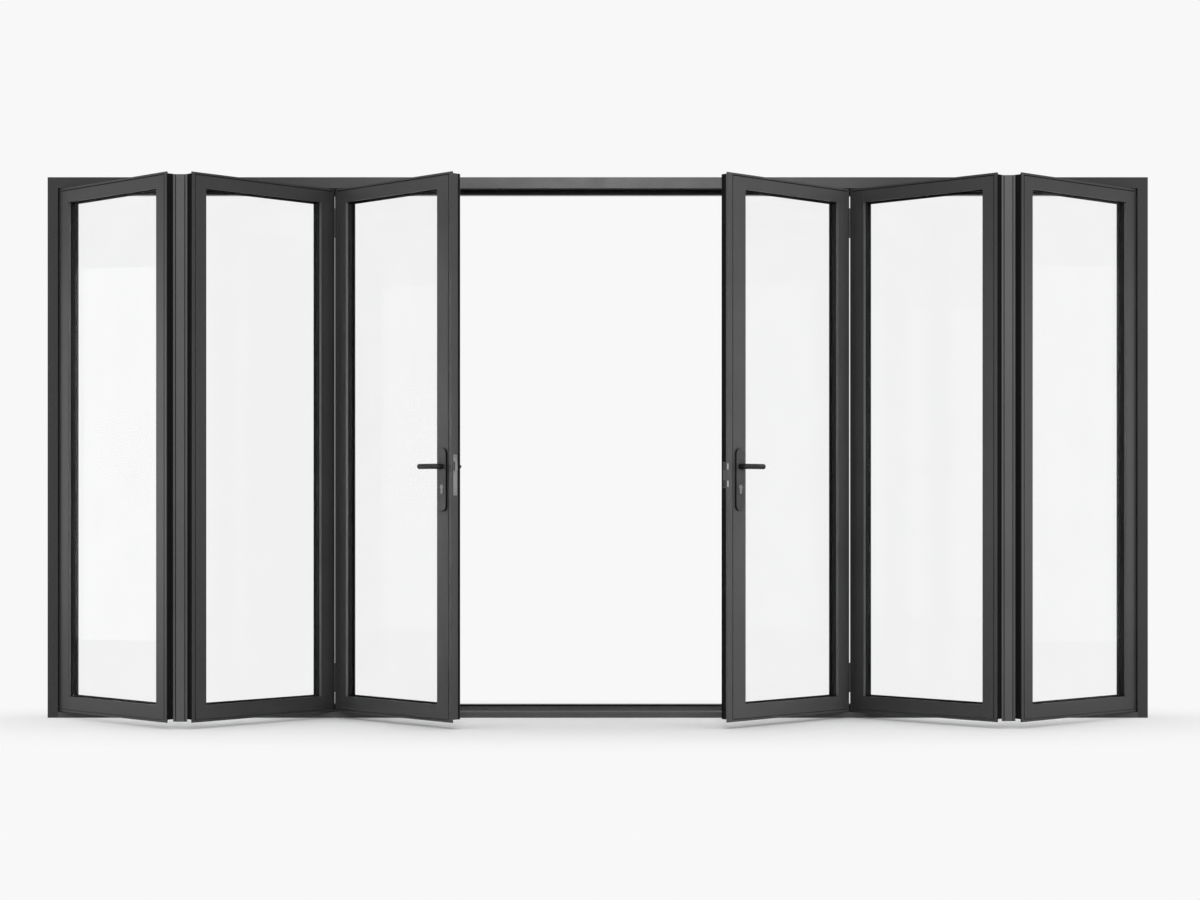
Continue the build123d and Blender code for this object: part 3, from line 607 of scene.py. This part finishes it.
def socket_screw_tree():
    """A node tree that sets a button-head screw with a hexagonal socket on every point. A point's
    facing attribute is the way its screw looks out."""
    tree = bpy.data.node_groups.new("socket_screws", "GeometryNodeTree")
    sizes = (("Head Radius", "NodeSocketFloat", 0.0036), ("Head Height", "NodeSocketFloat", 0.0012),
             ("Socket Share", "NodeSocketFloat", 0.45), ("Seed", "NodeSocketInt", 7))
    tree.interface.new_socket("Geometry", in_out="INPUT", socket_type="NodeSocketGeometry")
    for name, kind, value in sizes:
        tree.interface.new_socket(name, in_out="INPUT", socket_type=kind).default_value = value
    tree.interface.new_socket("Screw Finish", in_out="INPUT", socket_type="NodeSocketMaterial")
    tree.interface.new_socket("Geometry", in_out="OUTPUT", socket_type="NodeSocketGeometry")

    def add(kind, inputs=None, **settings):
        return add_node(tree, kind, inputs, **settings)

    def maths(operation, first, second):
        return add("ShaderNodeMath", {0: first, 1: second}, operation=operation).outputs[0]

    given = add("NodeGroupInput").outputs
    head = add("GeometryNodeMeshCylinder", {
        "Vertices": 20, "Side Segments": 4, "Radius": given["Head Radius"],
        "Depth": given["Head Height"]})
    place = add("GeometryNodeInputPosition")
    parts = add("ShaderNodeSeparateXYZ", {"Vector": place.outputs[0]})
    # From 0 at the seat to 1 at the top, and the dome's narrowing there
    rise = maths("ADD", maths("DIVIDE", parts.outputs["Z"], given["Head Height"]), 0.5)
    narrowing = maths("MULTIPLY", maths("MULTIPLY", rise, rise), -0.32)
    inward = add("ShaderNodeCombineXYZ", {"X": maths("MULTIPLY", parts.outputs["X"], narrowing),
                                          "Y": maths("MULTIPLY", parts.outputs["Y"], narrowing),
                                          "Z": maths("MULTIPLY", given["Head Height"], 0.5)})
    dome = add("GeometryNodeSetPosition", {"Geometry": head.outputs["Mesh"],
                                           "Offset": inward.outputs[0]})
    cutter = add("GeometryNodeMeshCylinder", {
        "Vertices": 6, "Radius": maths("MULTIPLY", given["Head Radius"], given["Socket Share"]),
        "Depth": given["Head Height"]})
    lifted = add("ShaderNodeCombineXYZ", {"Z": maths("MULTIPLY", given["Head Height"], 0.9)})
    raised = add("GeometryNodeTransform", {"Geometry": cutter.outputs["Mesh"],
                                           "Translation": lifted.outputs[0]})
    socket = add("GeometryNodeMeshBoolean", {"Mesh 1": dome.outputs[0], "Mesh 2": raised.outputs[0]},
                 operation="DIFFERENCE")
    facing = add("GeometryNodeInputNamedAttribute", {"Name": "facing"}, data_type="FLOAT_VECTOR")
    upright = add("FunctionNodeAlignRotationToVector", {"Vector": facing.outputs["Attribute"]},
                  axis="Z")
    random_turn = add("FunctionNodeRandomValue", {"Seed": given["Seed"]}, data_type="FLOAT")
    turn_socket = next(out for out in random_turn.outputs if out.enabled)
    spin = add("FunctionNodeAxisAngleToRotation", {"Angle": maths("MULTIPLY", turn_socket, 2 * pi)})
    rotation = add("FunctionNodeRotateRotation", {"Rotation": upright.outputs[0],
                                                  "Rotate By": spin.outputs[0]},
                   rotation_space="LOCAL")
    screws = add("GeometryNodeInstanceOnPoints", {"Points": given["Geometry"],
                                                  "Instance": socket.outputs["Mesh"],
                                                  "Rotation": rotation.outputs[0]})
    real = add("GeometryNodeRealizeInstances", {"Geometry": screws.outputs[0]})
    finished = add("GeometryNodeSetMaterial", {"Geometry": real.outputs[0],
                                               "Material": given["Screw Finish"]})
    add("NodeGroupOutput", {"Geometry": finished.outputs[0]})
    return tree


screw_tree = socket_screw_tree()
# On the fold's hinges: from the leaf's edge, and up from the hinge's middle
fold_screw_places = ((17, 43), (27, 16), (27, -16), (17, -43))
rear_screw_rises = (43, 0, -43)


def make_screws(name, spots, material, slot, **sizes):
    """Screws at spots, each a point and the way it faces, as one plain mesh on the door. The sizes
    are inputs of the node tree by name, in metres."""
    points = bpy.data.meshes.new(name + "_points")
    points.from_pydata([spot for spot, _ in spots], [], [])
    facing = points.attributes.new("facing", "FLOAT_VECTOR", "POINT")
    for place, (_, way) in zip(facing.data, spots):
        place.vector = way
    holder = bpy.data.objects.new(name + "_holder", points)
    bpy.context.scene.collection.objects.link(holder)
    screws = holder.modifiers.new("screws", "NODES")
    screws.node_group = screw_tree
    sizes["screw_finish"] = material
    for item in screw_tree.interface.items_tree:
        key = item.name.lower().replace(" ", "_")
        if item.in_out == "INPUT" and key in sizes:
            screws[item.identifier] = sizes[key]
    seen = holder.evaluated_get(bpy.context.evaluated_depsgraph_get())
    data = bpy.data.meshes.new_from_object(seen)
    data.name = name
    bpy.data.objects.remove(holder)
    piece = bpy.data.objects.new(name, data)
    bpy.context.scene.collection.objects.link(piece)
    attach(piece, "door")


def fold_hinge_spots(side):
    """On the flats of the fold's hinges, staggered, looking inwards."""
    spots = []
    for name, end, way in (("jamb", leaf_widths["jamb"], -1), ("middle", 0, 1)):
        leaf = leaves[side][name]
        for middle in (low_hinge, (low_hinge + high_hinge) / 2, high_hinge):
            for from_edge, rise in fold_screw_places:
                spots.append((leaf.spot(end + way * from_edge, fold_plate_back, middle + rise),
                              leaf.way(0, 1)))
    return spots


def rear_hinge_spots(side):
    """On the flats between the middle and the lead leaf, sunk so that the leaves can close."""
    spots = []
    for name, end, way in (("middle", leaf_widths["middle"], 1), ("lead", 0, -1)):
        leaf = leaves[side][name]
        along = end + way * rear_plate_thickness
        for middle in (low_hinge, high_hinge):
            for rise in rear_screw_rises:
                spots.append((leaf.spot(along, rear_screw_depth, middle + rise), leaf.way(way, 0)))
    return spots


def handle_plate_spots(side):
    """The two screws of the inner backplate, which hold the outer one too."""
    leaf = leaves[side]["lead"]
    along = leaf.width - handle_backsets[side]
    top = handle_height + plate_above_lever
    heights = (top - plate_screw_inset, top - plate_height + plate_screw_inset)
    return [(leaf.spot(along, leaf_thickness + plate_thickness, height), leaf.way(0, 1))
            for height in heights]


def faceplate_spots():
    """Near the two ends of the left lead leaf's faceplate."""
    leaf = leaves["left"]["lead"]
    reach = faceplate_height / 2 - faceplate_screw_inset
    return [(leaf.spot(leaf.width, faceplate_depth, lock_middle + rise), leaf.way(1, 0))
            for rise in (reach, -reach)]


for side in sides:
    for name in leaf_names:
        make_rings(leaves[side][name])
    make_edge_seals(side)
    make_guard_inlays(side)
    make_screws(side + "_fold_hinge_screws", fold_hinge_spots(side), screw_steel, "hardware_metal")
    make_screws(side + "_rear_hinge_screws", rear_hinge_spots(side), screw_steel, "hardware_metal",
                head_height=0.0003)
    make_screws(side + "_handle_plate_screws", handle_plate_spots(side), screw_steel, "handle_metal",
                head_radius=0.0042, head_height=0.0016)
make_screws("left_faceplate_screws", faceplate_spots(), screw_steel, "lock_steel",
            head_radius=0.0032, head_height=0.0006)
make_frame_rubber()
make_keep_lips()


# Floor, backdrop and light

white = (1, 1, 1, 1)
backdrop_tone = 0.939


def seen_directly(tree):
    """1 for rays from the camera, from gloss and through glass, and 0 for light on the object."""
    path = add_node(tree, "ShaderNodeLightPath").outputs
    first = add_node(tree, "ShaderNodeMath", {0: path["Is Camera Ray"], 1: path["Is Glossy Ray"]},
                     operation="MAXIMUM")
    both = add_node(tree, "ShaderNodeMath", {0: first.outputs[0], 1: path["Is Transmission Ray"]},
                    operation="MAXIMUM")
    return both.outputs[0]


def make_world():
    """A white room that lights the door less than its backdrop shows."""
    world = bpy.data.worlds.new("white_studio")
    bpy.context.scene.world = world
    world.use_nodes = True
    tree = world.node_tree
    tree.nodes.clear()
    room_light = add_node(tree, "ShaderNodeBackground", {"Color": white, "Strength": 0.36})
    backdrop = add_node(tree, "ShaderNodeBackground", {"Color": white, "Strength": backdrop_tone})
    mixed = add_node(tree, "ShaderNodeMixShader", {0: seen_directly(tree), 1: room_light.outputs[0],
                                                   2: backdrop.outputs[0]})
    add_node(tree, "ShaderNodeOutputWorld", {"Surface": mixed.outputs[0]})


def make_floor():
    """A wide pale disc that fades into the backdrop's tone away from the object."""
    floor_finish = Finish("pale_floor")
    coordinates = floor_finish.add("TexCoord")
    shortened = floor_finish.add("Mapping", {"Vector": coordinates.outputs["Object"],
                                             "Location": (0, 0.25, 0), "Scale": (0.35, 1, 1)})
    distance = floor_finish.add("VectorMath", {0: shortened.outputs["Vector"]}, operation="LENGTH")
    fade = floor_finish.spread(distance.outputs["Value"], 0, 1, 0.34, 1.15, "SMOOTHSTEP")
    mottle = floor_finish.noise(coordinates.outputs["Object"], 40.0, 3.0)
    colour = floor_finish.blend_colours(mottle, [0.925] * 3, [0.935] * 3)
    floor_finish.link(colour, floor_finish.shader.inputs["Base Color"])
    floor_finish.shader.inputs["Roughness"].default_value = 0.9
    floor_finish.shader.inputs["Specular IOR Level"].default_value = 0.1
    glow = floor_finish.add("Emission", {"Color": white, "Strength": backdrop_tone})
    share = floor_finish.add("Math", {0: fade, 1: seen_directly(floor_finish.tree)},
                             operation="MULTIPLY")
    mixed = floor_finish.add("MixShader", {0: share.outputs[0], 1: floor_finish.shader.outputs[0],
                                           2: glow.outputs[0]})
    floor_finish.link(mixed.outputs[0], floor_finish.output.inputs["Surface"])
    mesh = bmesh.new()
    bmesh.ops.create_circle(mesh, cap_ends=True, radius=90, segments=96)
    data = bpy.data.meshes.new("floor")
    mesh.to_mesh(data)
    mesh.free()
    data.materials.append(floor_finish.material)
    floor = bpy.data.objects.new("floor", data)
    bpy.context.scene.collection.objects.link(floor)


make_world()
make_floor()


def add_softbox(name, spot, aim, size, watts):
    """A large soft lamp that looks at a point."""
    lamp = bpy.data.lights.new(name, "AREA")
    lamp.shape = "RECTANGLE"
    lamp.size, lamp.size_y = size
    lamp.energy = watts
    holder = bpy.data.objects.new(name, lamp)
    holder.location = spot
    holder.rotation_euler = (Vector(aim) - Vector(spot)).to_track_quat("-Z", "Y").to_euler()
    bpy.context.scene.collection.objects.link(holder)


add_softbox("front_softbox", (0.15, -9.2, 3.5), (0, 0, 2.0), (2.0, 1.2), 245)
add_softbox("overhead_softbox", (0, -0.8, 6.0), (0, 0, 0), (7.0, 4.0), 155)
add_softbox("left_softbox", (-5.2, -1.2, 1.1), (-1.2, -0.3, 1.0), (4.0, 2.0), 54)
add_softbox("right_softbox", (5.2, -1.2, 1.1), (1.2, -0.3, 1.0), (4.0, 2.0), 32)
add_softbox("right_front_softbox", (5.2, -4.2, 1.1), (0.7, -0.2, 0.9), (1.2, 2.0), 50)


def make_camera():
    """A level camera straight in front of the opening, with its lens shifted up."""
    lens = bpy.data.cameras.new("product_camera")
    lens.lens = 70.2
    lens.sensor_width = 36
    lens.shift_x = 0.0019
    lens.shift_y = 0.0464
    lens.clip_end = 300
    camera = bpy.data.objects.new("product_camera", lens)
    camera.location = (0, -9.135, 0.824)
    camera.rotation_euler = (pi / 2, 0, 0)
    bpy.context.scene.collection.objects.link(camera)
    bpy.context.scene.camera = camera


make_camera()
bpy.context.scene.view_settings.view_transform = "Standard"
